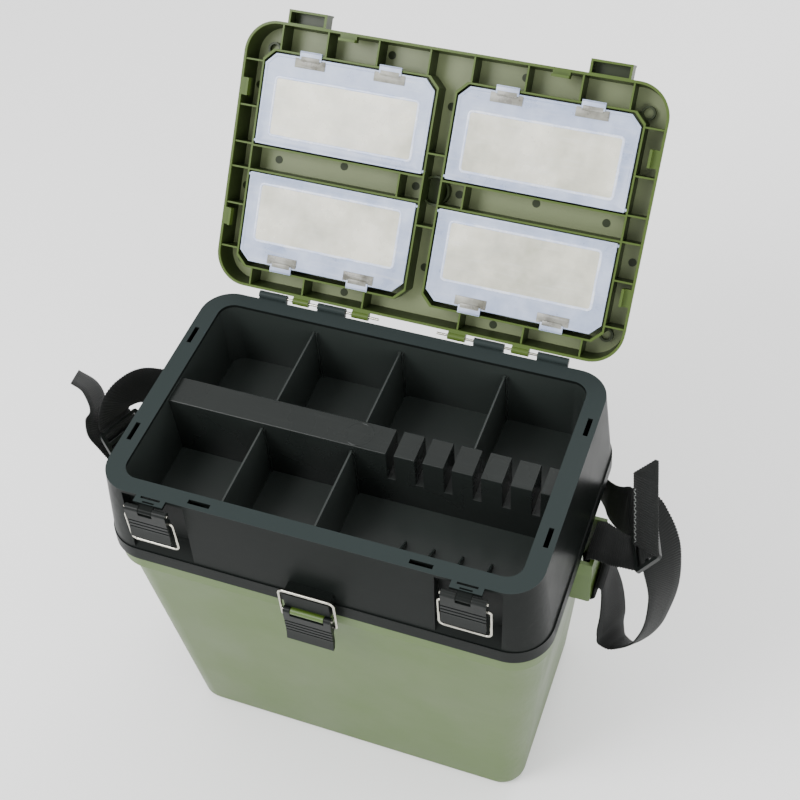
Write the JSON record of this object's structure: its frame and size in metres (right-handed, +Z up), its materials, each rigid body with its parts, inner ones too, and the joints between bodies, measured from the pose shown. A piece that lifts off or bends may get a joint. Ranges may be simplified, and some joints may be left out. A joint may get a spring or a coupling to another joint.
{
  "type": "fishing seat box",
  "caption": "Tall tackle box with a hinged tray section, a seat lid with flap compartments, wire latches and a shoulder strap",
  "frame": {"origin": "middle of the flat underside of the lower bin, on the ground", "axes": "+X along the box to the right as seen from the latch side, +Y to the hinge side at the back, +Z up"},
  "size_m": [0.5863, 0.4217, 0.5698],
  "materials": {
    "bin_green": "fine satin texture",
    "lid_green": "satin",
    "black_plastic": "satin, slightly dusty",
    "frosted_plastic": "frosted, translucent",
    "steel_wire": "bright drawn wire",
    "webbing": "ribbed polypropylene webbing",
    "slider_plastic": "moulded, smooth"
  },
  "bodies": {
    "bin": {"bin_shell": "bin_green", "latch_pin_middle": "steel_wire", "rear_hinge_pin_left": "steel_wire", "rear_hinge_pin_right": "steel_wire", "strap_slider_left": "slider_plastic", "strap_slider_right": "slider_plastic", "strap_webbing_left": "webbing", "strap_webbing_main": "webbing", "strap_webbing_right_end": "webbing"},
    "tier": {"tier_shell": "black_plastic", "tray_basin": "black_plastic", "tray_spine": "steel_wire", "rod_cradles": "black_plastic", "lid_hinge_pin_left": "steel_wire", "lid_hinge_pin_right": "steel_wire", "latch_pin_left": "steel_wire", "latch_pin_right": "steel_wire", "divider_back_left": "black_plastic", "divider_back_middle": "black_plastic", "divider_back_right": "black_plastic", "divider_front_left": "black_plastic", "divider_front_middle": "black_plastic"},
    "lid": {"lid_shell": "lid_green", "lid_cells": "lid_green"},
    "door_back_left": {"door_back_left": "frosted_plastic"},
    "door_back_right": {"door_back_right": "frosted_plastic"},
    "door_front_left": {"door_front_left": "frosted_plastic"},
    "door_front_right": {"door_front_right": "frosted_plastic"},
    "latch_bail_left": {"latch_bail_left": "steel_wire"},
    "latch_bail_middle": {"latch_bail_middle": "steel_wire"},
    "latch_bail_right": {"latch_bail_right": "steel_wire"},
    "latch_lever_left": {"latch_lever_left": "black_plastic"},
    "latch_lever_middle": {"latch_lever_middle": "black_plastic"},
    "latch_lever_right": {"latch_lever_right": "black_plastic"}
  },
  "joints": [
    {"name": "tier_hinge", "type": "hinge", "parent": "bin", "child": "tier", "pos_m": [0, 0.1295, 0.278], "axis": [-1, 0, 0], "range_deg": [0, 95]},
    {"name": "lid_hinge", "type": "hinge", "parent": "tier", "child": "lid", "pos_m": [0, 0.1206, 0.37156], "axis": [1, 0, 0], "range_deg": [0, 127.4]},
    {"name": "door_back_left_hinge", "type": "hinge", "parent": "lid", "child": "door_back_left", "pos_m": [-0.0883, 0.18447, 0.45339], "axis": [1, 0, 0], "range_deg": [-95, 0]},
    {"name": "door_back_right_hinge", "type": "hinge", "parent": "lid", "child": "door_back_right", "pos_m": [0.0883, 0.18447, 0.45339], "axis": [1, 0, 0], "range_deg": [-95, 0]},
    {"name": "door_front_left_hinge", "type": "hinge", "parent": "lid", "child": "door_front_left", "pos_m": [-0.0883, 0.20263, 0.47714], "axis": [-1, 0, 0], "range_deg": [-95, 0]},
    {"name": "door_front_right_hinge", "type": "hinge", "parent": "lid", "child": "door_front_right", "pos_m": [0.0883, 0.20263, 0.47714], "axis": [-1, 0, 0], "range_deg": [-95, 0]},
    {"name": "latch_lever_left_pivot", "type": "hinge", "parent": "tier", "child": "latch_lever_left", "pos_m": [-0.133, -0.127, 0.366], "axis": [1, 0, 0], "range_deg": [-110, 0]},
    {"name": "latch_bail_left_pivot", "type": "hinge", "parent": "latch_lever_left", "child": "latch_bail_left", "pos_m": [-0.133, -0.1265, 0.3555], "axis": [-1, 0, 0], "range_deg": [0, 184]},
    {"name": "latch_lever_right_pivot", "type": "hinge", "parent": "tier", "child": "latch_lever_right", "pos_m": [0.133, -0.127, 0.366], "axis": [1, 0, 0], "range_deg": [-110, 0]},
    {"name": "latch_bail_right_pivot", "type": "hinge", "parent": "latch_lever_right", "child": "latch_bail_right", "pos_m": [0.133, -0.1265, 0.3555], "axis": [-1, 0, 0], "range_deg": [0, 184]},
    {"name": "latch_lever_middle_pivot", "type": "hinge", "parent": "bin", "child": "latch_lever_middle", "pos_m": [0, -0.133, 0.287], "axis": [1, 0, 0], "range_deg": [-120, 0]},
    {"name": "latch_bail_middle_pivot", "type": "hinge", "parent": "latch_lever_middle", "child": "latch_bail_middle", "pos_m": [0, -0.131, 0.276], "axis": [1, 0, 0], "range_deg": [0, 120]}
  ],
  "couplings": [
    {"joint": "latch_bail_middle_pivot", "follows": "latch_lever_middle_pivot", "ratio": -1}
  ]
}
